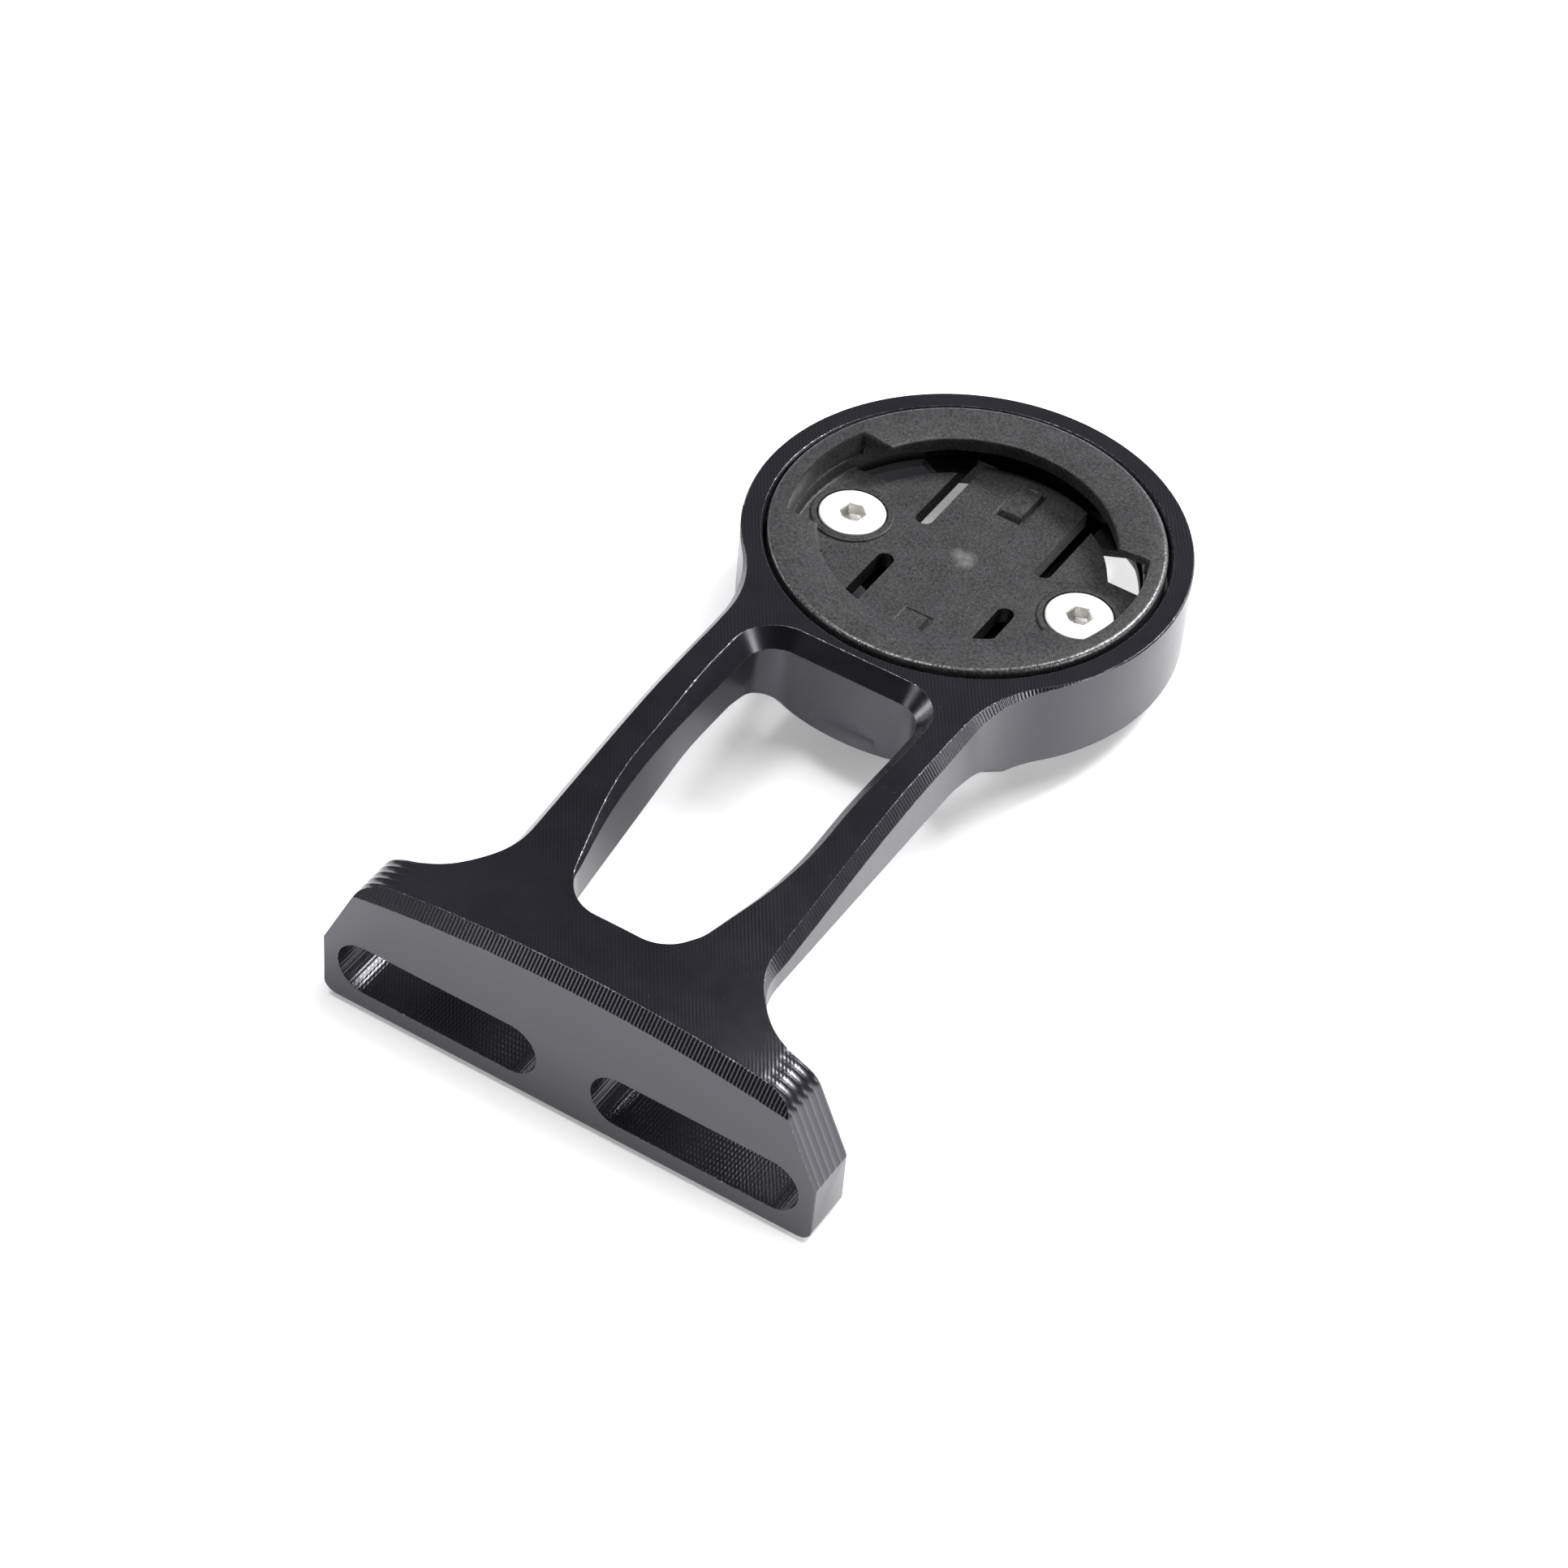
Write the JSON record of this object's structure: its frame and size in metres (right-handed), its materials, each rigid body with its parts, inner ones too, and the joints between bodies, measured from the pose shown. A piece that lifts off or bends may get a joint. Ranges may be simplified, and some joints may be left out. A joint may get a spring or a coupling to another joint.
{
  "type": "cycling computer bar mount",
  "caption": "Out-front bar mount for a cycling computer: milled arm with a slotted bolt-on flange and a round head holding a quarter-turn insert.",
  "frame": {"origin": "middle of the flange's flat bolt face, halfway between the two slots", "axes": "+Z square to the head's top face, +Y from the bolt face to the head, +X to the right looking along +Y"},
  "size_m": [0.0472, 0.0812, 0.0183],
  "materials": {
    "anodised_arm": "black anodised, satin, fine cutter marks",
    "insert_plastic": "charcoal, fine moulded grain",
    "screw_steel": "satin stainless"
  },
  "bodies": {
    "mount": {"arm": "anodised_arm", "quarter_turn_insert": "insert_plastic"},
    "tongue_far": {"detent_tongue_far": "insert_plastic"},
    "tongue_near": {"detent_tongue_near": "insert_plastic"},
    "screw_left": {"insert_screw_left": "screw_steel"},
    "screw_right": {"insert_screw_right": "screw_steel"}
  },
  "joints": [
    {"name": "tongue_far_flex", "type": "hinge", "parent": "mount", "child": "tongue_far", "pos_m": [0, 0.06582, 0.0095], "axis": [-1, 0, 0], "range_deg": [0, 4], "stiffness_Nm_per_rad": 0.5},
    {"name": "tongue_near_flex", "type": "hinge", "parent": "mount", "child": "tongue_near", "pos_m": [0, 0.05718, 0.0095], "axis": [1, 0, 0], "range_deg": [0, 4], "stiffness_Nm_per_rad": 0.5},
    {"name": "screw_left_turn", "type": "hinge", "parent": "mount", "child": "screw_left", "pos_m": [-0.01145, 0.0615, 0.0106], "axis": [0, 0, 1], "continuous": true},
    {"name": "screw_right_turn", "type": "hinge", "parent": "mount", "child": "screw_right", "pos_m": [0.01145, 0.0615, 0.0106], "axis": [0, 0, 1], "continuous": true}
  ]
}
